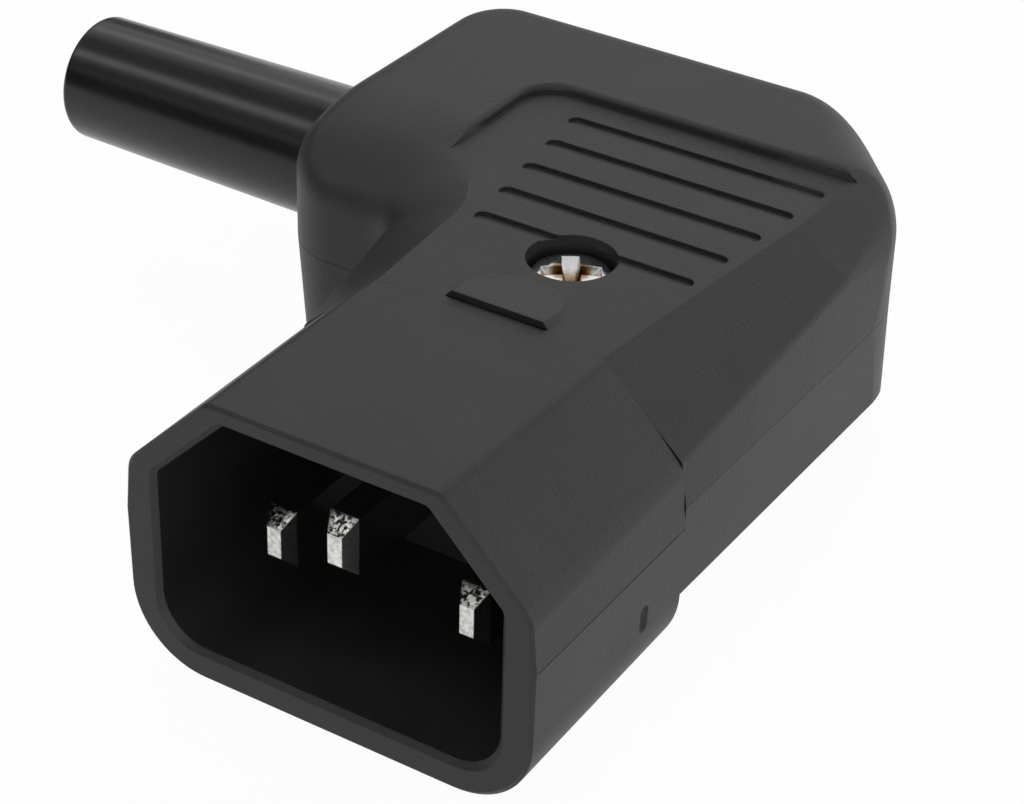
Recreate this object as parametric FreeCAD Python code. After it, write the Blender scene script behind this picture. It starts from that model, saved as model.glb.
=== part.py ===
import FreeCAD, Part
import os
from FreeCAD import Vector
from math import acos, asin, cos, pi, radians, sin, sqrt, tan

# Angled mains plug: a shroud with three flat pins, a rear housing of two shells whose neck turns to the
# left, and a bend sleeve on the neck. Millimetres. The origin is the middle of the shroud's opening in the
# plane of its rim, the plug mates towards -Y, +Z is up and the cord would leave towards -X.

# Mating face
opening_width = 24.5
opening_height = 17.0
opening_chamfer = 5.1
opening_radius = 3.2
opening_corner = 0.7
socket_depth = 16.8
lead_in = 0.35

# Shroud
side_wall = 2.35
top_wall = 1.35
bottom_wall = 2.1
shroud_chamfer = 6.45
shroud_rear_chamfer = 5.95
shroud_draft_angle = 5.0
shroud_lower_draft_angle = 1.0
ridge_radius = 1.0
shoulder_radius = 2.0
shroud_radius = 5.3
shroud_rear_radius = 5.7
rim_bevel = 0.2
block_length = 17.285
block_taper = 0.2
web_thickness = 3.0
mould_line_height = 0.05
mould_line_width = 0.07
mould_line_depth = 0.06
mould_line_start = 0.3
gate_mark_depth = 0.3
gate_mark_from_rim = 12.7
gate_mark_height = -3.9
gate_mark_diameter = 1.1
gate_mark_length = 1.0

# Pins
pin_spacing = 14.0
pin_thickness = 2.0
pin_height = 4.0
earth_height = 1.8
earth_rise = 4.0
earth_set = -0.2
line_tip_depth = 4.65
earth_tip_depth = 1.55
tip_taper_length = 1.05
tip_end_thickness = 1.0
tip_end_height = 2.1
pin_play = 0.05

# Rear housing
housing_length = 38.92
neck_width = 27.2
neck_reach = 11.4
axis_from_middle = 0.2
parting_height = 1.5
cover_step = 0.05
seam_gap = 0.015
shell_gap = 0.02
wall = 1.8
front_draft_angle = 9.0
rear_draft_angle = 1.5
lower_draft_angle = 1.0
end_lean_angle = 4.8
border_rise = 0.65
crown_share = 0.3675
crown_radius = 16.0
back_corner_length = 9.7
back_corner_width = 8.45
lower_corner_share = 0.96
back_side_radius = 12.3
back_rear_radius = 9.8
neck_rear_corner = 4.5
neck_front_corner = 5.4
front_round = 2.5
end_round = 2.5
rear_round = 2.1
corner_round = 4.2
side_round = 3.6
side_middle_round = 2.4
side_front_round = 1.0
bottom_round = 3.0
bottom_chamfer = 5.7
hollow_radius = 3.0

# Facets along the top edges
facet_inset_front = 6.2
facet_inset_rear = 3.8
facet_angle_front = 42.5
facet_angle_rear = 33.0
facet_rear_from_seam = 25.7
facet_round_front = 0.6
facet_round_rear = 7.5
facet_round_from_seam = 21.0

# Recess and grip grooves in the top, which sit a little to the right of the pins' middle plane
cover_shift = 0.3
recess_rear_from_seam = 28.6
recess_left = 14.2
recess_corner = 2.6
recess_round = 0.4
recess_round_steps = 3
groove_count = 5
groove_pitch = 3.73
groove_width = 1.2
groove_depth = 0.28
groove_front_depth = 0.08
groove_margin = 0.9
groove_left = 7.85
groove_left_step = 0.52
first_groove_from_seam = 10.57

# Pry lip: a ramp that rises towards a slot behind the seam
ramp_width = 7.3
ramp_length = 4.5
ramp_height = 0.4
ramp_corner = 3.2
ramp_shoulder = 0.35
slot_from_seam = 0.75
slot_width = 0.2
slot_depth = 0.7

# Cover screw
cover_screw_from_seam = 9.2
head_hole = 5.9
head_diameter = 5.1
head_height = 2.2
head_sink = 0.85
head_crown = 0.25
screw_shank = 3.0
screw_play = 0.1
shank_hole_play = 0.2
cover_screw_length = 13.5
recess_span = 4.1
recess_blade = 1.2
recess_depth = 1.6
recess_share = 0.45
recess_turn_angle = 33.0
post_diameter = 5.4
boss_wall = 0.9
seat_thickness = 1.4

# Tray behind the web, gripped by a rib in the covers
tray_length = 10.4
tray_wall = 1.2
tray_play = 0.15
rib_from_seam = 3.6
rib_width = 1.6
rib_height = 1.1
partition = 1.0
tongue_length = 17.6

# Terminals
terminal_width = 4.6
terminal_height = 6.5
terminal_length = 7.5
terminal_shift = 0.5
terminal_drop = 0.4
terminal_play = 0.15
pin_seat_depth = 2.6
seat_wall = 0.6
wire_hole = 2.6
wire_hole_rise = 2.6
strip_thickness = 1.0
strip_play = 0.35
strip_bend_length = 2.0
terminal_screw_head = 4.6
terminal_screw_head_height = 1.6
terminal_screw_tip = 0.6
driver_slot_width = 0.7
driver_slot_depth = 0.8

# Bend sleeve
sleeve_near_diameter = 10.2
sleeve_far_diameter = 9.5
sleeve_bore = 6.9
sleeve_visible = 25.9
sleeve_end_round = 0.5
sleeve_mouth_bevel = 0.25
flange_step = 1.1
flange_thickness = 2.4
flange_play = 0.15
sleeve_play = 0.1
sleeve_rib = 1.2

# Cable clamp
clamp_width = 5.0
clamp_thickness = 2.8
clamp_lift = 0.3
clamp_crown = 1.4
clamp_bore = 7.0
clamp_from_rib = 3.0
clamp_margin = 0.4
clamp_screw_head = 4.4
clamp_screw_head_height = 1.6
clamp_screw_length = 8.0
clamp_post_diameter = 5.6

# Places worked out from the sizes above
half_opening = opening_width / 2
opening_top = opening_height / 2
block_half = half_opening + side_wall
block_rear_half = block_half - block_taper
top_height = opening_top + top_wall
bottom_height = -opening_top - bottom_wall
web_rear = socket_depth + web_thickness
line_height = earth_height - earth_rise
cover_half = block_rear_half - cover_step
seam = block_length + seam_gap
rear = seam + housing_length
neck_front = rear - neck_width
neck_end = -cover_half - neck_reach
neck_axis = rear - neck_width / 2 - axis_from_middle
border_height = top_height + border_rise
crown_from_front = crown_share * neck_width
crown_start = neck_front + crown_from_front
hollow_y = neck_front - hollow_radius
ceiling = top_height - wall
floor_height = bottom_height + wall
recess_rear = seam + recess_rear_from_seam
slot_start = seam + slot_from_seam
ramp_start = slot_start + slot_width
screw_y = seam + cover_screw_from_seam
head_top = top_height - head_sink
head_seat = head_top - head_height
boss_diameter = head_hole + 2 * boss_wall
boss_end = head_seat - seat_thickness
rib_start = seam + rib_from_seam
rib_end = rib_start + rib_width
tray_end = web_rear + tray_length
tongue_end = web_rear + tongue_length
neck_wall = neck_end + wall
flange_diameter = sleeve_near_diameter + 2 * flange_step
flange_end = neck_wall + flange_play + flange_thickness
rib_face = flange_end + flange_play
clamp_x = rib_face + sleeve_rib + clamp_from_rib + clamp_width / 2
clamp_screw_spacing = clamp_bore + 2 * clamp_crown + clamp_screw_head + clamp_margin
clamp_span = clamp_screw_spacing + clamp_screw_head + 2 * clamp_margin
sleeve_end = neck_end - sleeve_visible
terminal_x = pin_spacing / 2 + terminal_shift
terminal_front = web_rear + terminal_play
terminal_base = line_height - pin_height / 2 - terminal_drop
wire_hole_length = terminal_length - pin_seat_depth - seat_wall
chamber_half = terminal_width / 2 + terminal_play
centre_half = terminal_x - chamber_half - partition
strip_left = cover_shift - post_diameter / 2 - strip_play - strip_thickness
strip_right = strip_left + strip_thickness
earth_terminal_x = strip_right + terminal_width / 2
earth_terminal_front = screw_y + post_diameter / 2 + 2 * strip_play
reach = 60.0
skin = 1.0
closeness = 1e-4
full_turn = 360
quarter_turn = 90


# Helpers for profiles and solids
def in_xy(z):
    return lambda u, v: Vector(u, v, z)


def in_xz(y):
    return lambda u, v: Vector(u, y, v)


def in_yz(x):
    return lambda u, v: Vector(x, u, v)


def corner_joint(before, corner, after):
    # Where a rounded corner starts, its middle and where it ends
    point = Vector(corner[0], corner[1], 0)
    radius = corner[2] if len(corner) > 2 else 0
    if radius <= 0:
        return point, None, point
    back = (Vector(before[0], before[1], 0) - point).normalize()
    ahead = (Vector(after[0], after[1], 0) - point).normalize()
    half = back.getAngle(ahead) / 2
    run = radius / tan(half)
    inward = (back + ahead).normalize()
    return point + back * run, point + inward * (radius / sin(half) - radius), point + ahead * run


def outline(corners, place):
    # Closed wire through corners (u, v) or (u, v, radius)
    count = len(corners)
    joints = [corner_joint(corners[i - 1], corners[i], corners[(i + 1) % count]) for i in range(count)]
    edges = []
    for i, (start, middle, end) in enumerate(joints):
        last = joints[i - 1][2]
        if not start.isEqual(last, closeness):
            edges.append(Part.LineSegment(place(last.x, last.y), place(start.x, start.y)).toShape())
        if middle is not None:
            points = [place(p.x, p.y) for p in (start, middle, end)]
            edges.append(Part.Arc(*points).toShape())
    return Part.Wire(edges)


def prism(corners, place, along):
    return Part.Face(outline(corners, place)).extrude(along)


def box(x0, x1, y0, y1, z0, z1):
    return Part.makeBox(x1 - x0, y1 - y0, z1 - z0, Vector(x0, y0, z0))


def rod(diameter, start, direction, length):
    return Part.makeCylinder(diameter / 2, length, start, direction)


def loft(wires):
    return Part.makeLoft(wires, True, True)


def joined(first, *others):
    return first.fuse(list(others)).removeSplitter()


def mirrored(shape):
    return shape.mirror(Vector(0, 0, 0), Vector(1, 0, 0))


def upper_half(low):
    return box(-reach, reach, -reach, reach, low, reach)


def lower_half(high):
    return box(-reach, reach, -reach, reach, -reach, high)


def soften(shape, wanted, radius_at):
    # Round the wanted edges, each with the radius that its two ends ask for
    document = FreeCAD.newDocument("soften")
    base = document.addObject("Part::Feature", "base")
    base.Shape = shape
    fillet = document.addObject("Part::Fillet", "fillet")
    fillet.Base = base
    picks = []
    for number, edge in enumerate(shape.Edges, 1):
        first = edge.valueAt(edge.FirstParameter)
        last = edge.valueAt(edge.LastParameter)
        if wanted(first, last):
            picks.append((number, radius_at(first), radius_at(last)))
    fillet.Edges = picks
    document.recompute()
    result = fillet.Shape.copy()
    FreeCAD.closeDocument(document.Name)
    return result


def along_facet(y, front, back):
    # A value that changes evenly along the facet
    return front + (y - seam) / facet_rear_from_seam * (back - front)


def facet_ridge(y):
    # Distance of the top ridge from the middle plane
    return cover_half - along_facet(y, facet_inset_front, facet_inset_rear)


# Front block
def shroud_outline(y, half, chamfer, radius, inset):
    # The sides lean in from the mould line, down to the bottom and up to the chamfered corners
    side = half - inset
    top = top_height - inset
    lean = tan(radians(shroud_draft_angle))
    corner = half + top_height - chamfer - inset * sqrt(2)
    shoulder = (corner - side - lean * mould_line_height) / (1 - lean)
    under = side - tan(radians(shroud_lower_draft_angle)) * (mould_line_height - bottom_height)
    right = [(under, bottom_height + inset, radius), (side, mould_line_height),
             (corner - shoulder, shoulder, shoulder_radius), (corner - top, top, ridge_radius)]
    left = [(-u, v, *bend) for u, v, *bend in reversed(right)]
    return outline(right + left, in_xz(y))


def opening_outline(y, outset):
    half = half_opening + outset
    top = opening_top + outset
    flat = half_opening - opening_chamfer + outset * tan(pi / 8)
    shoulder = opening_top - opening_chamfer + outset * tan(pi / 8)
    right = [(half, -top, opening_radius), (half, shoulder, opening_corner), (flat, top, opening_corner)]
    left = [(-u, v, radius) for u, v, radius in reversed(right)]
    return outline(right + left, in_xz(y))


def inner_outline(y, inset):
    # Section of the housing's inside: flat sides, corners cut under the facets and over the chamfers
    skin_here = wall + inset
    half = cover_half - skin_here
    top = ceiling - inset
    bottom = floor_height + inset
    slope = radians(facet_angle_front)
    flat = facet_ridge(seam) - skin_here * tan(slope / 2)
    shoulder = top_height - tan(slope) * (half - facet_ridge(seam)) - skin_here / cos(slope)
    cut = bottom_chamfer - skin_here * tan(pi / 8)
    right = [(half - cut, bottom), (half, bottom + cut), (half, shoulder), (flat, top)]
    left = [(-u, v) for u, v in reversed(right)]
    return outline(right + left, in_xz(y))


def inner_length(start, end, inset):
    return Part.Face(inner_outline(start, inset)).extrude(Vector(0, end - start, 0))


def shroud():
    rim = shroud_outline(0, block_half, shroud_chamfer, shroud_radius, rim_bevel)
    front = shroud_outline(rim_bevel, block_half, shroud_chamfer, shroud_radius, 0)
    bevel = loft([rim, front])
    back = shroud_outline(block_length, block_rear_half, shroud_rear_chamfer, shroud_rear_radius, 0)
    body = loft([front, back])
    mouth = loft([opening_outline(0, lead_in), opening_outline(lead_in, 0)])
    hollow = Part.Face(opening_outline(lead_in, 0)).extrude(Vector(0, socket_depth - lead_in, 0))
    return joined(bevel, body).cut(mouth).cut(hollow)


def tray():
    # The part behind the seam: gripped by the covers' rib and open at the top for the screws
    up = Vector(0, 0, 1)
    front = inner_length(block_length, rib_start - tray_play, tray_play)
    grip = inner_length(rib_start - tray_play, rib_end + tray_play, rib_height + tray_play)
    back = inner_length(rib_end + tray_play, tray_end, tray_play)
    base = terminal_base - tray_wall
    outer = centre_half + partition
    tongue = box(-outer, outer, tray_end, tongue_end, base, terminal_base)
    body = joined(front, grip, back, tongue)
    behind = rib_end + tray_play
    end = tray_end + skin
    for side in (-1, 1):
        middle = side * terminal_x
        body = body.cut(box(middle - chamber_half, middle + chamber_half, web_rear, end,
                            terminal_base, reach))
        ends = sorted((side * (terminal_x + chamber_half + tray_wall), side * reach))
        body = body.cut(box(ends[0], ends[1], behind, end, -reach, reach))
    body = body.cut(box(-centre_half, centre_half, web_rear, end, terminal_base, reach))
    body = body.cut(box(-reach, reach, behind, end, -reach, base))
    post = rod(post_diameter + 2 * strip_play, Vector(cover_shift, screw_y, -reach), up, 2 * reach)
    boss = rod(boss_diameter + 2 * tray_play, Vector(cover_shift, screw_y, boss_end - tray_play), up, reach)
    return body.cut(post).cut(boss)


def front_block():
    body = joined(shroud(), tray())
    half = pin_thickness / 2 + pin_play
    tall = pin_height / 2 + pin_play
    pins = [(-pin_spacing / 2, line_height), (pin_spacing / 2, line_height), (earth_set, earth_height)]
    for x, height in pins:
        body = body.cut(box(x - half, x + half, socket_depth - skin, web_rear + skin,
                            height - tall, height + tall))
    line = box(block_rear_half - mould_line_depth, block_half + skin, mould_line_start, block_length,
               mould_line_height - mould_line_width / 2, mould_line_height + mould_line_width / 2)
    centre = Vector(block_rear_half + gate_mark_diameter / 2 - gate_mark_depth, gate_mark_from_rim,
                    gate_mark_height)
    low = centre - Vector(0, 0, gate_mark_length / 2)
    high = centre + Vector(0, 0, gate_mark_length / 2)
    mark = rod(gate_mark_diameter, low, Vector(0, 0, 1), gate_mark_length)
    ends = [Part.makeSphere(gate_mark_diameter / 2, place) for place in (low, high)]
    mark = mark.fuse(ends)
    return body.cut(line).cut(mark)


# Pins
def pin_tip(x, height, tip):
    def section(thickness, tall, y):
        half = thickness / 2
        low = height - tall / 2
        high = height + tall / 2
        return outline([(x - half, low), (x + half, low), (x + half, high), (x - half, high)], in_xz(y))
    return loft([section(tip_end_thickness, tip_end_height, tip),
                 section(pin_thickness, pin_height, tip + tip_taper_length)])


def side_pin(side):
    x = side * pin_spacing / 2
    half = pin_thickness / 2
    tall = pin_height / 2
    start = line_tip_depth + tip_taper_length
    blade = box(x - half, x + half, start, terminal_front + pin_seat_depth,
                line_height - tall, line_height + tall)
    return joined(pin_tip(x, line_height, line_tip_depth), blade)


def earth_pin():
    # The rear of this pin is bent round the cover's post to reach its terminal
    left = earth_set - pin_thickness / 2
    right = earth_set + pin_thickness / 2
    start = earth_tip_depth + tip_taper_length
    bend_end = web_rear + strip_bend_length
    end = earth_terminal_front + terminal_length
    corners = [(right, start), (right, web_rear + strip_thickness), (strip_right, bend_end + strip_thickness),
               (strip_right, end), (strip_left, end), (strip_left, bend_end), (left, web_rear), (left, start)]
    blade = prism(corners, in_xy(earth_height - pin_height / 2), Vector(0, 0, pin_height))
    return joined(pin_tip(earth_set, earth_height, earth_tip_depth), blade)


# Terminals and their screws
def screw_foot(x, front):
    middle = front + terminal_length - wire_hole_length / 2
    return Vector(x, middle, terminal_base + wire_hole_rise)


def terminal_block(x, front):
    half = terminal_width / 2
    back = front + terminal_length
    block = box(x - half, x + half, front, back, terminal_base, terminal_base + terminal_height)
    wire = rod(wire_hole, Vector(x, back, terminal_base + wire_hole_rise), Vector(0, -1, 0), wire_hole_length)
    screw = rod(screw_shank + 2 * screw_play, screw_foot(x, front), Vector(0, 0, 1), terminal_height)
    return block.cut(wire).cut(screw)


def side_terminal(side):
    x = side * pin_spacing / 2
    half = pin_thickness / 2 + pin_play
    tall = pin_height / 2 + pin_play
    seat = box(x - half, x + half, terminal_front - skin, terminal_front + pin_seat_depth + pin_play,
               line_height - tall, line_height + tall)
    return terminal_block(side * terminal_x, terminal_front).cut(seat)


def earth_terminal():
    return terminal_block(earth_terminal_x, earth_terminal_front)


def slotted_screw(foot, length, head, head_tall):
    up = Vector(0, 0, 1)
    top = foot + up * length
    cap = rod(head, top, up, head_tall)
    half = driver_slot_width / 2
    slot = box(top.x - head, top.x + head, top.y - half, top.y + half,
               top.z + head_tall - driver_slot_depth, top.z + head_tall + skin)
    return joined(rod(screw_shank, foot, up, length), cap).cut(slot)


def terminal_screw(x, front):
    foot = screw_foot(x, front) + Vector(0, 0, terminal_screw_tip)
    length = terminal_height - wire_hole_rise - terminal_screw_tip + screw_play
    return slotted_screw(foot, length, terminal_screw_head, terminal_screw_head_height)


# Rear housing, outer forms
def bar_corners(end, corner_share):
    # Plan of the rear bar, whose left end is the neck
    length = back_corner_length * corner_share
    width = back_corner_width * corner_share
    return [(cover_half, neck_front, neck_front_corner), (cover_half, rear - length, back_side_radius),
            (cover_half - width, rear, back_rear_radius), (end, rear, neck_rear_corner),
            (end, neck_front, neck_front_corner)]


def under_crown(inset):
    # Everything below the bar's top, which falls in an arc towards the front
    radius = crown_radius - inset
    middle = border_height - crown_radius
    swing = asin((crown_from_front + skin) / radius)
    arc = [(crown_start - radius * sin(turn), middle + radius * cos(turn)) for turn in (0, swing / 2, swing)]
    corners = [arc[2], (arc[2][0], -reach), (rear + skin, -reach), (rear + skin, arc[0][1]), arc[0]]
    points = [Vector(-reach, y, z) for y, z in corners]
    edges = [Part.LineSegment(a, b).toShape() for a, b in zip(points, points[1:])]
    edges.append(Part.Arc(*[Vector(-reach, y, z) for y, z in arc]).toShape())
    return Part.Face(Part.Wire(edges)).extrude(Vector(2 * reach, 0, 0))


def top_round(point):
    if abs(point.y - neck_front) < closeness:
        return front_round
    if abs(point.x - neck_end) < closeness:
        return end_round
    if abs(point.y - rear) < closeness:
        return rear_round
    if abs(point.x - cover_half) > closeness:
        return corner_round
    if abs(point.y - crown_start) < closeness:
        return side_middle_round
    return side_front_round if point.y < crown_start else side_round


def upper_bar():
    def around_top(first, last):
        on_crown_start = max(abs(first.y - crown_start), abs(last.y - crown_start)) < closeness
        return min(first.z, last.z) > parting_height + closeness and not on_crown_start
    bar = prism(bar_corners(neck_end, 1), in_xy(parting_height), Vector(0, 0, border_height))
    return soften(bar.common(under_crown(0)), around_top, top_round)


def lower_bar():
    def around_bottom(first, last):
        return max(first.z, last.z) < bottom_height + closeness
    end = neck_end + (parting_height - bottom_height) * tan(radians(end_lean_angle))
    top = outline(bar_corners(neck_end, 1), in_xy(parting_height))
    bar = loft([top, outline(bar_corners(end, lower_corner_share), in_xy(bottom_height))])
    return soften(bar, around_bottom, lambda point: bottom_round)


def crown_edge():
    # The bar's rounded front edge and its crown up to the body's level, as points (way in, height)
    middle = border_height - crown_radius
    inner = crown_radius - front_round
    start = asin((crown_from_front - front_round) / inner)
    finish = acos((top_height - middle) / crown_radius)
    bend = middle + inner * cos(start)

    def on_crown(turn):
        return crown_from_front - crown_radius * sin(turn), middle + crown_radius * cos(turn)
    half = (pi / 2 + start) / 2
    shoulder = (front_round - front_round * sin(half), bend + front_round * cos(half))
    return (0, bend), shoulder, on_crown(start), on_crown((start + finish) / 2), on_crown(finish)


def facet_edge():
    # The same for the seam: a small rounding and a flat facet
    x, height = facet_foot(seam)
    ridge = (cover_half - facet_ridge(seam), top_height)
    points = corner_joint((0, parting_height), (cover_half - x, height, facet_round_front), ridge)
    wall_top, shoulder, turn = [(point.x, point.y) for point in points]
    return wall_top, shoulder, turn, None, ridge


def beside(y):
    # Places (way in from the left side, height) in the plane y
    return lambda way, height: Vector(way - cover_half, y, height)


def edge_wire(points, back, place):
    # Closed wire up the side wall, over its rounded edge and down again at the way back
    wall_top, shoulder, turn, middle, end = points
    foot = (0, parting_height)
    edges = [Part.LineSegment(place(*foot), place(*wall_top)).toShape(),
             Part.Arc(place(*wall_top), place(*shoulder), place(*turn)).toShape()]
    if middle is None:
        edges.append(Part.LineSegment(place(*turn), place(*end)).toShape())
    else:
        edges.append(Part.Arc(place(*turn), place(*middle), place(*end)).toShape())
    rest = [end, (back, end[1]), (back, parting_height), foot]
    edges += [Part.LineSegment(place(*a), place(*b)).toShape() for a, b in zip(rest, rest[1:])]
    return Part.Wire(edges)


def hollow_fill(wire):
    # Soft inner corner beside the neck: the edge swept round an upright axis
    axis = Vector(-cover_half - hollow_radius, hollow_y, 0)
    return Part.Face(wire).revolve(axis, Vector(0, 0, 1), quarter_turn)


def fill_back(run):
    # Far enough in to reach under the corner of the square round the sweep
    return (hollow_radius + run) * sqrt(2) - hollow_radius


def facet_foot(y):
    # Where the facet meets the leaning side wall
    slope = tan(radians(along_facet(y, facet_angle_front, facet_angle_rear)))
    lean = tan(radians(along_facet(y, front_draft_angle, rear_draft_angle)))
    inset = cover_half - facet_ridge(y)
    height = (top_height - slope * (inset + lean * parting_height)) / (1 - slope * lean)
    return cover_half - lean * (height - parting_height), height


def side_section(y, shoulder):
    # Everything outside the right side wall, its rounded shoulder and the facet
    slope = tan(radians(along_facet(y, facet_angle_front, facet_angle_rear)))
    high = border_height + skin
    far = cover_half + skin
    x, height = facet_foot(y)
    corners = [(facet_ridge(y) - (high - top_height) / slope, high),
               (x, height, shoulder), (cover_half, parting_height), (far, parting_height), (far, high)]
    return outline(corners, in_xz(y))


def left_body():
    # A flat facet at the seam that turns into the bar's curved edge beside the neck
    edge = crown_edge()
    front = loft([edge_wire(facet_edge(), cover_half, beside(seam)),
                  edge_wire(edge, cover_half, beside(hollow_y))])
    inner = edge[-1][0] - cover_half
    return joined(front, box(inner, 0, hollow_y, crown_start, parting_height, top_height))


def upper_form():
    right = box(0, cover_half, seam, crown_start, parting_height, top_height)
    edge = crown_edge()
    fill = hollow_fill(edge_wire(edge, fill_back(edge[-1][0]), beside(hollow_y)))
    outside = loft([side_section(seam - skin, facet_round_front),
                    side_section(seam + facet_round_from_seam, facet_round_front),
                    side_section(rear + skin, facet_round_rear)])
    return joined(right, left_body(), upper_bar(), fill).cut(outside)


def lower_form():
    low = bottom_height - skin
    far = cover_half + skin
    lean = tan(radians(lower_draft_angle)) * (parting_height - low)
    wall_side = [(cover_half, parting_height), (far, parting_height), (far, low), (cover_half - lean, low)]
    edge_side = [(far, low), (far, low + bottom_chamfer + 2 * skin),
                 (cover_half - bottom_chamfer - skin, low)]
    along = Vector(0, housing_length + 2 * skin, 0)
    outside = joined(prism(wall_side, in_xz(seam - skin), along), prism(edge_side, in_xz(seam - skin), along))
    body = box(-cover_half, cover_half, seam, neck_axis, bottom_height, parting_height).cut(mirrored(outside))
    back = fill_back(bottom_chamfer)
    slope = [(0, parting_height), (0, bottom_height + bottom_chamfer), (bottom_chamfer, bottom_height),
             (back, bottom_height), (back, parting_height)]
    fill = hollow_fill(outline(slope, beside(hollow_y)))
    return joined(body, lower_bar(), fill).cut(outside)


# Rear housing, inner forms
def cavity():
    front = inner_length(seam - skin, rib_start, 0)
    grip = inner_length(rib_start - skin, rib_end + skin, rib_height)
    back = inner_length(rib_end, neck_axis, 0)
    right = cover_half - wall
    corners = [(right, neck_front + wall, neck_front_corner - wall),
               (right, rear - back_corner_length, back_side_radius - wall),
               (right - back_corner_width, rear - wall, back_rear_radius - wall),
               (neck_wall, rear - wall, neck_rear_corner - wall),
               (neck_wall, neck_front + wall, neck_front_corner - wall)]
    bar = prism(corners, in_xy(floor_height), Vector(0, 0, ceiling - floor_height)).common(under_crown(wall))
    shape = inner_length(neck_front, rear, 0)
    shape = shape.fuse(box(-reach, 0, neck_front, rear, floor_height, ceiling))
    return joined(front, grip, back, bar.common(shape))


def groove_cut(number):
    # A shallow scoop, steep at its rear and nearly running out to the front
    y = seam + first_groove_from_seam + number * groove_pitch
    left = -groove_left - number * groove_left_step
    right = facet_ridge(y) - groove_margin
    end = groove_width / 2
    low = top_height - groove_depth
    corners = [(left, y - end, end), (right, y - end, end), (right, y + end, end), (left, y + end, end)]
    plan = prism(corners, in_xy(low), Vector(0, 0, groove_depth + skin))
    side = [(y - end, top_height - groove_front_depth), (y + end, low), (y + end, top_height + skin),
            (y - end, top_height + skin)]
    return plan.common(prism(side, in_yz(left - skin), Vector(right - left + 2 * skin, 0, 0)))


def recess_outline(outset, z):
    left = -recess_left - outset
    right = cover_half + skin
    back = recess_rear + outset
    front = seam - skin
    corners = [(left, front), (right, front), (right, back), (left, back, recess_corner + outset)]
    return outline(corners, in_xy(z))


def recess_cut():
    # Upright at the foot of its wall and rounded over at the top
    base = border_height - recess_round
    wires = [recess_outline(0, top_height), recess_outline(0, base)]
    for step in range(1, recess_round_steps + 1):
        turn = pi / 2 * step / recess_round_steps
        wires.append(recess_outline(recess_round * (1 - cos(turn)), base + recess_round * sin(turn)))
    wires.append(recess_outline(recess_round, border_height + skin))
    return loft(wires)


def ramp_plan(inset, z):
    half = ramp_width / 2 - inset
    end = ramp_start + ramp_length - inset
    corner = ramp_corner - inset
    corners = [(-half, ramp_start), (half, ramp_start), (half, end, corner), (-half, end, corner)]
    return outline(corners, in_xy(z))


def ramp():
    # A tongue with sloping sides that rises towards the slot
    low = top_height - slot_depth
    high = top_height + ramp_height
    end = ramp_start + ramp_length
    side = [(ramp_start, low), (ramp_start, high), (end, top_height), (end, low)]
    wedge = prism(side, in_yz(-ramp_width / 2), Vector(ramp_width, 0, 0))
    return wedge.common(loft([ramp_plan(0, low), ramp_plan(0, top_height), ramp_plan(ramp_shoulder, high)]))


def sleeve_passage():
    start = Vector(neck_wall + skin, neck_axis, parting_height)
    return rod(sleeve_near_diameter + 2 * sleeve_play, start, Vector(-1, 0, 0), wall + 2 * skin)


def sleeve_wall():
    # Cross wall that holds the sleeve's flange against the end of the neck
    half = wall / 2
    across = box(rib_face, rib_face + sleeve_rib, neck_front + half, rear - half,
                 floor_height - half, ceiling + half)
    start = Vector(rib_face - skin, neck_axis, parting_height)
    return across.cut(rod(sleeve_near_diameter, start, Vector(1, 0, 0), sleeve_rib + 2 * skin))


def upper_cover():
    down = Vector(0, 0, -1)
    form = upper_form()
    body = form.cut(recess_cut()).cut(cavity())
    for number in range(groove_count):
        body = body.cut(groove_cut(number))
    half = ramp_width / 2
    slot = box(-half, half, slot_start, ramp_start, top_height - slot_depth, top_height + skin)
    top = Vector(cover_shift, screw_y, top_height)
    start = top + down * (wall / 2)
    boss = rod(boss_diameter, start, down, start.z - boss_end)
    post = rod(post_diameter, start, down, start.z - parting_height)
    cross = sleeve_wall().common(upper_half(parting_height)).common(form)
    body = joined(body.cut(slot), ramp(), boss, post, cross)
    head = rod(head_hole, top - down * skin, down, top_height + skin - head_seat)
    shank = rod(screw_shank + 2 * shank_hole_play, top, down, reach)
    body = body.cut(head).cut(shank).cut(sleeve_passage())
    return body.common(upper_half(parting_height + shell_gap / 2))


def clamp_places():
    half = clamp_screw_spacing / 2
    return {"front": neck_axis - half, "rear": neck_axis + half}


def clamp_seat():
    return parting_height - clamp_lift - clamp_thickness / 2


def lower_cover():
    up = Vector(0, 0, 1)
    form = lower_form()
    base = floor_height - wall / 2
    places = clamp_places()
    half = clamp_width / 2
    pieces = [rod(post_diameter, Vector(cover_shift, screw_y, base), up, parting_height - base),
              sleeve_wall().common(lower_half(parting_height)).common(form),
              box(clamp_x - half, clamp_x + half, places["front"], places["rear"], base, clamp_seat())]
    for y in places.values():
        pieces.append(rod(clamp_post_diameter, Vector(clamp_x, y, base), up, clamp_seat() - base))
    body = joined(form.cut(cavity()), *pieces)
    start = Vector(clamp_x - clamp_width, neck_axis, parting_height)
    body = body.cut(rod(clamp_bore, start, Vector(1, 0, 0), 2 * clamp_width))
    pilot = screw_shank + 2 * screw_play
    body = body.cut(rod(pilot, Vector(cover_shift, screw_y, floor_height), up, reach))
    for y in places.values():
        body = body.cut(rod(pilot, Vector(clamp_x, y, floor_height), up, reach))
    return body.cut(sleeve_passage()).common(lower_half(parting_height - shell_gap / 2))


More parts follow.
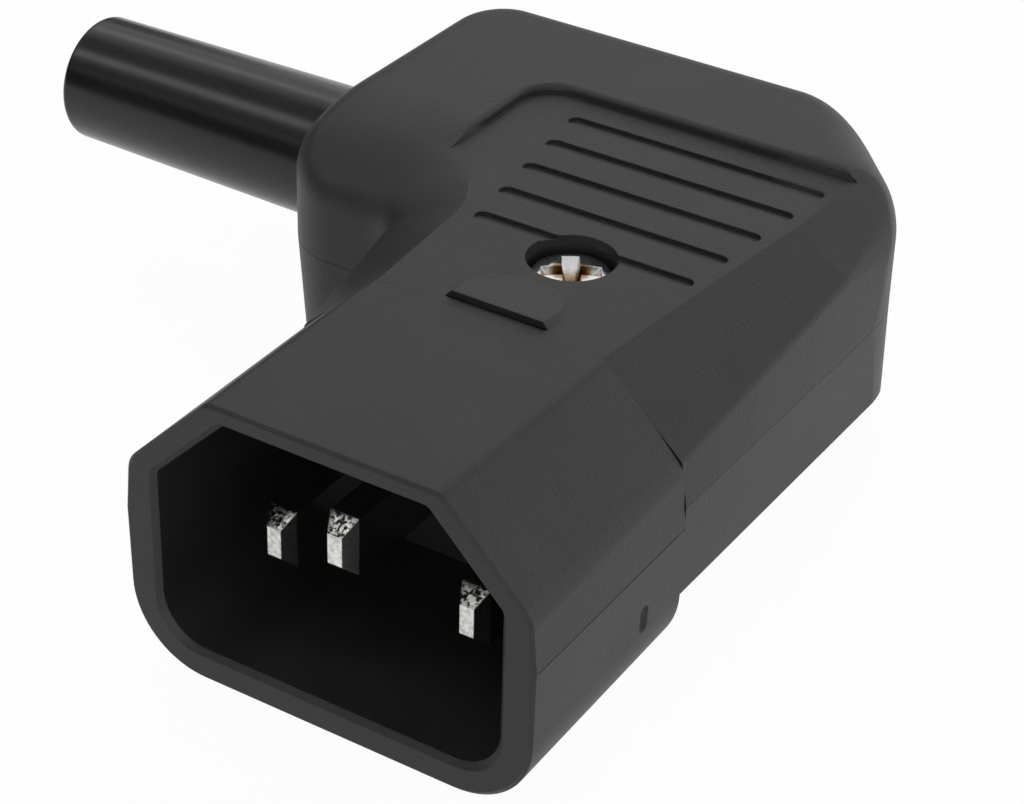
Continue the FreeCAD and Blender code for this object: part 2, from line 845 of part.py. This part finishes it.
# Screws, clamp and sleeve
def cross_recess(centre):
    def cross(z, scale):
        s = recess_span / 2 * scale
        b = recess_blade / 2 * scale
        corners = [(s, -b), (s, b), (b, b), (b, s), (-b, s), (-b, b), (-s, b), (-s, -b), (-b, -b), (-b, -s),
                   (b, -s), (b, -b)]
        wire = outline([(centre.x + u, centre.y + v) for u, v in corners], in_xy(z))
        wire.rotate(centre, Vector(0, 0, 1), recess_turn_angle)
        return wire
    above = 1 + (1 - recess_share) * skin / recess_depth
    return loft([cross(centre.z + skin, above), cross(centre.z - recess_depth, recess_share)])


def cover_screw():
    up = Vector(0, 0, 1)
    seat = Vector(cover_shift, screw_y, head_seat)
    top = seat + up * head_height
    radius = ((head_diameter / 2) ** 2 + head_crown ** 2) / (2 * head_crown)
    dome = Part.makeSphere(radius, top - up * radius)
    head = rod(head_diameter, seat, up, head_height).common(dome)
    shank = rod(screw_shank, seat - up * cover_screw_length, up, cover_screw_length)
    return joined(shank, head).cut(cross_recess(top))


def cable_clamp():
    bottom = clamp_seat()
    half = clamp_width / 2
    span = clamp_span / 2
    bar = box(clamp_x - half, clamp_x + half, neck_axis - span, neck_axis + span,
              bottom, bottom + clamp_thickness)
    start = Vector(clamp_x - half, neck_axis, parting_height)
    along = Vector(1, 0, 0)
    crown = rod(clamp_bore + 2 * clamp_crown, start, along, clamp_width).common(upper_half(bottom))
    body = joined(bar, crown).cut(rod(clamp_bore, start, along, clamp_width))
    hole = screw_shank + 2 * shank_hole_play
    for y in clamp_places().values():
        foot = Vector(clamp_x, y, bottom - skin)
        body = body.cut(rod(hole, foot, Vector(0, 0, 1), clamp_thickness + 2 * skin))
    return body


def clamp_screw(y):
    foot = Vector(clamp_x, y, clamp_seat() + clamp_thickness - clamp_screw_length)
    return slotted_screw(foot, clamp_screw_length, clamp_screw_head, clamp_screw_head_height)


def bend_sleeve():
    near = sleeve_near_diameter / 2
    far = sleeve_far_diameter / 2
    bore = sleeve_bore / 2
    flange = flange_diameter / 2
    flange_start = flange_end - flange_thickness
    corners = [(flange_end, bore), (flange_end, flange), (flange_start, flange), (flange_start, near),
               (neck_end, near), (sleeve_end, far, sleeve_end_round), (sleeve_end, bore + sleeve_mouth_bevel),
               (sleeve_end + sleeve_mouth_bevel, bore)]
    face = Part.Face(outline(corners, lambda u, v: Vector(u, neck_axis, parting_height + v)))
    return face.revolve(Vector(0, neck_axis, parting_height), Vector(1, 0, 0), full_turn)


os.makedirs("parts", exist_ok=True)
pieces = {
    "front_block": front_block(),
    "line_pin": side_pin(-1),
    "neutral_pin": side_pin(1),
    "earth_pin": earth_pin(),
    "line_terminal": side_terminal(-1),
    "neutral_terminal": side_terminal(1),
    "earth_terminal": earth_terminal(),
    "line_terminal_screw": terminal_screw(-terminal_x, terminal_front),
    "neutral_terminal_screw": terminal_screw(terminal_x, terminal_front),
    "earth_terminal_screw": terminal_screw(earth_terminal_x, earth_terminal_front),
    "upper_cover": upper_cover(),
    "lower_cover": lower_cover(),
    "cover_screw": cover_screw(),
    "cable_clamp": cable_clamp(),
    "bend_sleeve": bend_sleeve(),
}
for place, y in clamp_places().items():
    pieces["clamp_screw_" + place] = clamp_screw(y)
for node, shape in pieces.items():
    shape.exportStep("parts/" + node + ".step")
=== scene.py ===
import bpy
from mathutils import Matrix, Vector


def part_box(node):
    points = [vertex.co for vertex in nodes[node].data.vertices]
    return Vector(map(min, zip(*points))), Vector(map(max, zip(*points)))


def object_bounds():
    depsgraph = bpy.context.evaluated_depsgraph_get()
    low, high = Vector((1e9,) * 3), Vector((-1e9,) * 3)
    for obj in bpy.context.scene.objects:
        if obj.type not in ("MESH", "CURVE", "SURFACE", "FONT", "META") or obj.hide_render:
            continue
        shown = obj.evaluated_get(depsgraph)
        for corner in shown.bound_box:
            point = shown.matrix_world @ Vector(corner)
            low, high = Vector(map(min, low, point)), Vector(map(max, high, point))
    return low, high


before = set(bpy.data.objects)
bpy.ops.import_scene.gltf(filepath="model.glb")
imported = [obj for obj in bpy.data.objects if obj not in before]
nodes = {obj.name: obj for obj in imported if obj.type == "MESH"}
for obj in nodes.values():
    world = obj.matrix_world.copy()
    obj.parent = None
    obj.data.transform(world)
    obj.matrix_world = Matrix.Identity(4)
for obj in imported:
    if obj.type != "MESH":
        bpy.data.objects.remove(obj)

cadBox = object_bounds()
scene = bpy.context.scene
scene.view_settings.view_transform = "Standard"
mm = 0.001
print("plug loaded:", len(nodes), "solids")


def linear(hexColour):  # sRGB hex as given, turned to linear
    parts = [int(hexColour[i:i + 2], 16) / 255 for i in (1, 3, 5)]
    return [c / 12.92 if c <= 0.04045 else ((c + 0.055) / 1.055) ** 2.4 for c in parts] + [1.0]


def newMaterial(name):
    material = bpy.data.materials.new(name)
    material.use_nodes = True
    tree = material.node_tree
    return material, tree, tree.nodes["Principled BSDF"]


# One node with its settings, and values or links on its inputs, given by name or as i0, i1 by number
def addNode(tree, kind, settings=None, **inputs):
    node = tree.nodes.new(kind)
    for key, value in (settings or {}).items():
        setattr(node, key, value)
    for key, value in inputs.items():
        numbered = key[0] == "i" and key[1:].isdigit()
        socket = node.inputs[int(key[1:]) if numbered else key.replace("_", " ")]
        if isinstance(value, bpy.types.NodeSocket):
            tree.links.new(value, socket)
        else:
            socket.default_value = value
    return node


def maths(tree, operation, *values):
    inputs = {f"i{number}": value for number, value in enumerate(values)}
    return addNode(tree, "ShaderNodeMath", {"operation": operation}, **inputs).outputs[0]


def spread(tree, value, source, target):  # maps the source range onto the target range
    node = addNode(tree, "ShaderNodeMapRange", Value=value, From_Min=source[0], From_Max=source[1],
                   To_Min=target[0], To_Max=target[1])
    return node.outputs["Result"]


def noise(tree, place, size, detail):  # patches of about so many mm
    node = addNode(tree, "ShaderNodeTexNoise", Vector=place, Scale=1 / (size * mm), Detail=detail)
    return node.outputs["Fac"]


def ramp(tree, value, stops):  # stops: position, hex
    node = addNode(tree, "ShaderNodeValToRGB", Fac=value)
    elements = node.color_ramp.elements
    while len(elements) < len(stops):
        elements.new(1.0)
    for element, (position, colour) in zip(elements, stops):
        element.position = position
        element.color = linear(colour)
    return node.outputs["Color"]


def overlay(tree, share, below, hexColour):  # lays a plain colour over another by share
    node = addNode(tree, "ShaderNodeMixRGB", Fac=share, Color1=below, Color2=linear(hexColour))
    return node.outputs["Color"]


def softEdges(tree, radius, rays):
    return addNode(tree, "ShaderNodeBevel", {"samples": rays}, Radius=radius).outputs["Normal"]


def bump(tree, height, depth, strength, **normal):  # depth in mm
    node = addNode(tree, "ShaderNodeBump", Strength=strength, Distance=depth * mm, Height=height, **normal)
    return node.outputs["Normal"]


def wire(tree, shader, colour, roughness, normal):
    tree.links.new(colour, shader.inputs["Base Color"])
    tree.links.new(roughness, shader.inputs["Roughness"])
    tree.links.new(normal, shader.inputs["Normal"])


wholeRange = (0.0, 1.0)

# Glass-filled nylon, moulded in a spark-eroded steel tool: black, matt, with a fine pebble grain that
# breaks the light into a soft grey sheen instead of highlights
housingNylon = {
    "colours": ((0.3, "#191919"), (0.7, "#1f1f1f")),
    "cloud": 6.0,          # mm, slow drift of the grey across the moulding
    "grain": 0.15,         # mm, pebble of the eroded tool
    "grainBlend": 0.8,     # how far the pebbles run together
    "speck": 0.25,         # mm, unevenness among the pebbles
    "grainHeight": 0.028,  # mm, drawn deeper than the real 0.01 so that it shows
    "grainStrength": 0.6,
    "edgeRadius": 0.13,    # mm, softening of the moulded edges
    "edgeRays": 3,
    "softSpots": (         # mm: place, reach and edge radius where the tool was blended by hand
        ((-15.5, 30.0, 5.5), 5.5, 1.4), ((-13.5, 34.0, 8.5), 5.0, 2.0), ((11.8, 47.6, 8.2), 8.0, 1.8),
    ),
    "flushBand": 0.30,     # mm beside the seam in which the edges stay sharp, because the faces meet flush
    "seamShadeWidth": 0.08,      # mm, half width of the painted shade line along the seam gap, on the faces beside the top
    # colour of the painted shade along the seam
    "seamShadeColour": "#030303",
    "topFacing": (0.8, 0.95),  # upward part of the normal, from the sloping sides to the top
    "roughness": (0.44, 0.54),
    "ior": 1.43,
}


def makeNylon():
    look = housingNylon
    material, tree, shader = newMaterial("mouldedBlackNylon")
    coords = addNode(tree, "ShaderNodeTexCoord")
    place = coords.outputs["Object"]
    colour = ramp(tree, noise(tree, place, look["cloud"], detail=3.0), look["colours"])
    pebble = addNode(tree, "ShaderNodeTexVoronoi", {"feature": "SMOOTH_F1"}, Vector=place,
                     Scale=1 / (look["grain"] * mm), Smoothness=look["grainBlend"])
    speck = noise(tree, place, look["speck"], detail=2.0)
    relief = maths(tree, "ADD", pebble.outputs["Distance"], speck)
    radius = look["edgeRadius"] * mm
    for spot, reach, spotRadius in look["softSpots"]:
        centre = [c * mm for c in spot]
        away = addNode(tree, "ShaderNodeVectorMath", {"operation": "DISTANCE"}, i0=place, i1=centre)
        wider = spread(tree, away.outputs["Value"], (reach * mm / 2, reach * mm), (spotRadius * mm, 0.0))
        radius = maths(tree, "MAXIMUM", wider, radius)
    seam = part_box("upper_cover")[0][1]
    along = addNode(tree, "ShaderNodeSeparateXYZ", Vector=place).outputs["Y"]
    fromSeam = maths(tree, "ABSOLUTE", maths(tree, "SUBTRACT", along, seam))
    flush = look["flushBand"] * mm
    radius = spread(tree, fromSeam, (flush / 2, flush), (0.0, radius))
    upward = addNode(tree, "ShaderNodeSeparateXYZ", Vector=coords.outputs["Normal"]).outputs["Z"]
    besideTop = spread(tree, upward, look["topFacing"], (1.0, 0.0))
    # painted shade: the dark line of the narrow seam gap is painted into the colour on the faces beside the
    # top
    seamShadeHalf = look["seamShadeWidth"] * mm
    paintedSeamShade = spread(tree, fromSeam, (seamShadeHalf / 2, seamShadeHalf), (besideTop, 0.0))
    colour = overlay(tree, paintedSeamShade, colour, look["seamShadeColour"])
    soft = softEdges(tree, radius, look["edgeRays"])
    grained = bump(tree, relief, look["grainHeight"], look["grainStrength"], Normal=soft)
    wire(tree, shader, colour, spread(tree, speck, wholeRange, look["roughness"]), grained)
    shader.inputs["IOR"].default_value = look["ior"]
    return material


# Soft PVC, moulded in a polished tool: black and smooth, with long satin highlights along the tube
sleevePvc = {
    "colours": ((0.3, "#080808"), (0.7, "#0c0c0c")),
    "cloud": 5.0,           # mm, patches of shine
    "ripple": 1.1,          # mm, faint unevenness of the soft wall
    "rippleHeight": 0.012,  # mm
    "rippleStrength": 0.5,
    "roughness": (0.20, 0.28),
    "ior": 1.44,
}


def makePvc():
    look = sleevePvc
    material, tree, shader = newMaterial("smoothBlackPvc")
    place = addNode(tree, "ShaderNodeTexCoord").outputs["Object"]
    cloud = noise(tree, place, look["cloud"], detail=4.0)
    colour = ramp(tree, cloud, look["colours"])
    ripple = noise(tree, place, look["ripple"], detail=2.0)
    rippled = bump(tree, ripple, look["rippleHeight"], look["rippleStrength"])
    wire(tree, shader, colour, spread(tree, cloud, wholeRange, look["roughness"]), rippled)
    shader.inputs["IOR"].default_value = look["ior"]
    return material


# Nickel plate on stamped brass: a pale mirror on the sheared ends, and on the coined chamfers of the tips
# small dents that break the reflection, with dark flecks of reflection painted onto the upper chamfers
pinNickel = {
    "colours": ((0.35, "#bab9b7"), (0.6, "#deddda")),
    "pit": 0.35,          # mm, clouds in the plating
    "coined": (           # upward part of the normal, so that white picks out the upper chamfers of the tips
        (0.2, "#000000"), (0.4, "#ffffff"), (0.9, "#ffffff"), (0.97, "#000000"),
    ),
    "fleck": 0.24,        # mm, dents of the coined chamfers, and the painted dark flecks of their reflection
    "fleckHeight": 0.05,  # mm
    "fleckStrength": 1.0,
    # where the painted dark reflection flecks begin, and their colour
    "darkReflectionEdge": (0.46, 0.56),
    "darkReflectionColour": "#262524",
    "coinRadius": 0.8,    # mm, how far the coined chamfers are rounded over
    "line": 0.10,         # mm, shear lines across the end faces
    "lineStretch": (0.2, 1.0, 1.0),
    "lineHeight": 0.006,  # mm
    "lineStrength": 0.5,
    "roughness": (0.26, 0.12),
    "edgeRadius": 0.10,   # mm
    "edgeRays": 4,
}


def makeNickel():
    look = pinNickel
    material, tree, shader = newMaterial("nickelPlatedBrass")
    coords = addNode(tree, "ShaderNodeTexCoord")
    place = coords.outputs["Object"]
    pits = noise(tree, place, look["pit"], detail=4.0)
    colour = ramp(tree, pits, look["colours"])
    upward = addNode(tree, "ShaderNodeSeparateXYZ", Vector=coords.outputs["Normal"]).outputs["Z"]
    coined = ramp(tree, upward, look["coined"])
    fleck = noise(tree, place, look["fleck"], detail=3.0)
    dents = maths(tree, "MULTIPLY", fleck, coined)
    # painted reflection: dark flecks on the upward chamfers stand in for the dark parts of their mottled
    # reflection
    paintedDarkReflection = spread(tree, fleck, look["darkReflectionEdge"], (0.0, coined))
    colour = overlay(tree, paintedDarkReflection, colour, look["darkReflectionColour"])
    radius = spread(tree, coined, wholeRange, (look["edgeRadius"] * mm, look["coinRadius"] * mm))
    stretch = addNode(tree, "ShaderNodeMapping", Vector=place, Scale=look["lineStretch"])
    lines = noise(tree, stretch.outputs["Vector"], look["line"], detail=2.0)
    soft = softEdges(tree, radius, look["edgeRays"])
    sheared = bump(tree, lines, look["lineHeight"], look["lineStrength"], Normal=soft)
    dented = bump(tree, dents, look["fleckHeight"], look["fleckStrength"], Normal=sheared)
    wire(tree, shader, colour, spread(tree, pits, wholeRange, look["roughness"]), dented)
    shader.inputs["Metallic"].default_value = 1.0
    return material


# Zinc-plated steel, cold-headed and passivated: bright silver facets, a brownish gold film in the recess
# and a bluish one towards the rim of the head
screwZinc = {
    "film": (  # mm from the axis, hex
        (0.7, "#6f5138"), (1.15, "#a88c6c"), (1.5, "#e9e8e4"), (2.1, "#dfe2e8"), (2.55, "#8f99ab"),
    ),
    "drift": 0.5,         # mm, patches of the film
    "wander": 0.12,       # how far the rings of the film stray, as a share of the largest
    "grit": 0.12,         # mm
    "gritHeight": 0.004,  # mm
    "gritStrength": 0.5,
    "roughness": (0.20, 0.08),
    "edgeRadius": 0.08,   # mm
    "edgeRays": 4,
}


def makeZinc():
    look = screwZinc
    material, tree, shader = newMaterial("zincPlatedSteel")
    place = addNode(tree, "ShaderNodeTexCoord").outputs["Object"]
    low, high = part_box("cover_screw")
    axis = ((low[0] + high[0]) / 2, (low[1] + high[1]) / 2, 0.0)
    offset = addNode(tree, "ShaderNodeVectorMath", {"operation": "SUBTRACT"}, i0=place, i1=axis).outputs[0]
    level = addNode(tree, "ShaderNodeVectorMath", {"operation": "MULTIPLY"}, i0=offset, i1=(1.0, 1.0, 0.0))
    out = addNode(tree, "ShaderNodeVectorMath", {"operation": "LENGTH"}, i0=level.outputs[0])
    patches = noise(tree, place, look["drift"], detail=3.0)
    largest = look["film"][-1][0]
    wander = spread(tree, patches, wholeRange, (-look["wander"], look["wander"]))
    ring = maths(tree, "MULTIPLY_ADD", out.outputs["Value"], 1 / (largest * mm), wander)
    colour = ramp(tree, ring, [(radius / largest, hexColour) for radius, hexColour in look["film"]])
    grit = noise(tree, place, look["grit"], detail=2.0)
    soft = softEdges(tree, look["edgeRadius"] * mm, look["edgeRays"])
    gritty = bump(tree, grit, look["gritHeight"], look["gritStrength"], Normal=soft)
    wire(tree, shader, colour, spread(tree, patches, wholeRange, look["roughness"]), gritty)
    shader.inputs["Metallic"].default_value = 1.0
    return material


# Plain free-cutting brass, milled from bar: warm yellow with fine cutter lines and a dull brown tarnish
terminalBrass = {
    "colours": ((0.35, "#8f6f35"), (0.6, "#c49a52")),
    "tarnish": 2.2,       # mm, brown patches
    "cutter": 0.15,       # mm, lines of the milling cutter
    "cutterStretch": (1.0, 0.05, 1.0),
    "cutterHeight": 0.008,  # mm
    "cutterStrength": 0.5,
    "roughness": (0.42, 0.25),
}


def makeBrass():
    look = terminalBrass
    material, tree, shader = newMaterial("milledBrass")
    place = addNode(tree, "ShaderNodeTexCoord").outputs["Object"]
    tarnish = noise(tree, place, look["tarnish"], detail=4.0)
    colour = ramp(tree, tarnish, look["colours"])
    stretch = addNode(tree, "ShaderNodeMapping", Vector=place, Scale=look["cutterStretch"])
    lines = noise(tree, stretch.outputs["Vector"], look["cutter"], detail=2.0)
    milled = bump(tree, lines, look["cutterHeight"], look["cutterStrength"])
    wire(tree, shader, colour, spread(tree, tarnish, wholeRange, look["roughness"]), milled)
    shader.inputs["Metallic"].default_value = 1.0
    return material


nylon, pvc, nickel, zinc, brass = makeNylon(), makePvc(), makeNickel(), makeZinc(), makeBrass()
finishes = {  # every other piece is a screw
    "front_block": nylon, "upper_cover": nylon, "lower_cover": nylon, "cable_clamp": nylon,
    "bend_sleeve": pvc,
    "line_pin": nickel, "neutral_pin": nickel, "earth_pin": nickel,
    "line_terminal": brass, "neutral_terminal": brass, "earth_terminal": brass,
}
for name, piece in nodes.items():
    piece.data.materials.clear()
    piece.data.materials.append(finishes.get(name, zinc))
print("finishes set")


# Stage: a white tent all round and a pale floor, two strip lamps above the sleeve, a fill lamp in front and a
# soft box behind on the right, and felt flags in front, overhead and on the left, whose reflections draw the
# dark bands along the sleeve and the neck
stage = {
    "floorHalf": 1.5,
    "floorGap": 0.02,     # mm under the part, so that the two faces don't share a plane
    "floorColour": "#fafafa",
    "floorRoughness": 0.9,
    "floorLift": 0.96,    # how far the floor goes to plain white for the eye; the rest is its shadow
    "mirrorLift": 0.8,    # the same in reflections and through clear things
    "feltRoughness": 1.0,
    "white": "#ffffff",
    "world": 0.93,
    "lamps": {  # name: place, aim, width, height in metres, watts
        "frontStrip": ((-0.33, -0.153, 0.361), (-0.33, 0.042, 0.0), 0.80, 0.09, 0.50),
        "backStrip": ((-0.33, 0.264, 0.345), (-0.33, 0.042, 0.0), 0.80, 0.06, 0.22),
        "frontFill": ((0.20, -0.55, 0.16), (0.0, 0.0, 0.0), 0.30, 0.30, 0.5),
        "rightBox": ((0.34, 0.48, 0.10), (0.0, 0.03, 0.0), 0.40, 0.30, 0.27),
    },
    "flags": {  # name: place, aim, width, height in metres, colour
        "frontFlag": ((-0.42, -0.50, 0.06), (-0.04, 0.04, 0.06), 0.80, 0.42, "#6a6a6a"),
        "roofPanel": ((-0.30, -0.28, 0.55), (-0.30, -0.20, 0.0), 1.30, 0.90, "#c4c4c4"),
        "leftFlag": ((-0.62, 0.22, 0.15), (0.0, 0.22, 0.15), 1.30, 0.34, "#4a4a4a"),
    },
    "camera": {  # metres; lens and sensor in mm
        "place": (0.07758, -0.10459, 0.09629),
        "right": (0.8415, 0.5398, 0.0228),
        "up": (-0.3072, 0.4433, 0.8421),
        "lens": 97.80,
        "sensor": 36.0,
        "clipStart": 0.005,
    },
}


def flatSheet(name, width, height, material):
    u, v = width / 2, height / 2
    mesh = bpy.data.meshes.new(name)
    mesh.from_pydata([(-u, -v, 0), (u, -v, 0), (u, v, 0), (-u, v, 0)], [], [(0, 1, 2, 3)])
    mesh.materials.append(material)
    sheet = bpy.data.objects.new(name, mesh)
    scene.collection.objects.link(sheet)
    return sheet


def turnTo(thing, place, aim):
    thing.location = place
    thing.rotation_euler = (Vector(aim) - Vector(place)).to_track_quat("-Z", "Y").to_euler()


def makeFloor():
    material, tree, shader = newMaterial("paintedPaleFloor")
    shader.inputs["Base Color"].default_value = linear(stage["floorColour"])
    shader.inputs["Roughness"].default_value = stage["floorRoughness"]
    rays = addNode(tree, "ShaderNodeLightPath").outputs
    mirrored = maths(tree, "MAXIMUM", rays["Is Glossy Ray"], rays["Is Transmission Ray"])
    inMirror = maths(tree, "MULTIPLY", mirrored, stage["mirrorLift"])
    lift = maths(tree, "MULTIPLY_ADD", rays["Is Camera Ray"], stage["floorLift"], inMirror)
    white = addNode(tree, "ShaderNodeEmission", Color=linear(stage["white"]), Strength=1.0)
    lifted = addNode(tree, "ShaderNodeMixShader", Fac=lift, i1=shader.outputs["BSDF"],
                     i2=white.outputs["Emission"])
    under = addNode(tree, "ShaderNodeNewGeometry").outputs["Backfacing"]  # from below the floor is open
    clear = addNode(tree, "ShaderNodeBsdfTransparent")
    shown = addNode(tree, "ShaderNodeMixShader", Fac=under, i1=lifted.outputs[0], i2=clear.outputs[0])
    tree.links.new(shown.outputs[0], tree.nodes["Material Output"].inputs["Surface"])
    material.cycles.emission_sampling = "NONE"  # the white is only seen, it lights nothing
    floor = flatSheet("floor", 2 * stage["floorHalf"], 2 * stage["floorHalf"], material)
    floor.location.z = cadBox[0][2] - stage["floorGap"] * mm


def makeFlag(name, place, aim, width, height, colour):
    material, _, shader = newMaterial(name + "Felt")
    shader.inputs["Base Color"].default_value = linear(colour)
    shader.inputs["Roughness"].default_value = stage["feltRoughness"]
    card = flatSheet(name, width, height, material)
    turnTo(card, place, aim)
    card.visible_camera = False  # it is only there to be mirrored


def makeLamp(name, place, aim, width, height, watts):
    light = bpy.data.lights.new(name, "AREA")
    light.shape = "RECTANGLE"
    light.size = width
    light.size_y = height
    light.energy = watts
    lamp = bpy.data.objects.new(name, light)
    turnTo(lamp, place, aim)
    scene.collection.objects.link(lamp)


def makeTent():
    world = bpy.data.worlds.new("whiteTent")
    world.use_nodes = True
    scene.world = world
    plain = world.node_tree.nodes["Background"]
    plain.inputs["Color"].default_value = linear(stage["white"])
    plain.inputs["Strength"].default_value = stage["world"]


def makeCamera():
    view = stage["camera"]
    right, up = Vector(view["right"]), Vector(view["up"])
    back = right.cross(up)
    camera = bpy.data.objects.new("camera", bpy.data.cameras.new("camera"))
    camera.data.lens = view["lens"]
    camera.data.sensor_width = view["sensor"]
    camera.data.clip_start = view["clipStart"]
    turn = Matrix((right, up, back)).transposed().to_4x4()
    camera.matrix_world = Matrix.Translation(Vector(view["place"])) @ turn
    scene.collection.objects.link(camera)
    scene.camera = camera


makeFloor()
for name, flag in stage["flags"].items():
    makeFlag(name, *flag)
makeTent()
for name, lamp in stage["lamps"].items():
    makeLamp(name, *lamp)
makeCamera()
print("stage, lamps and camera set")
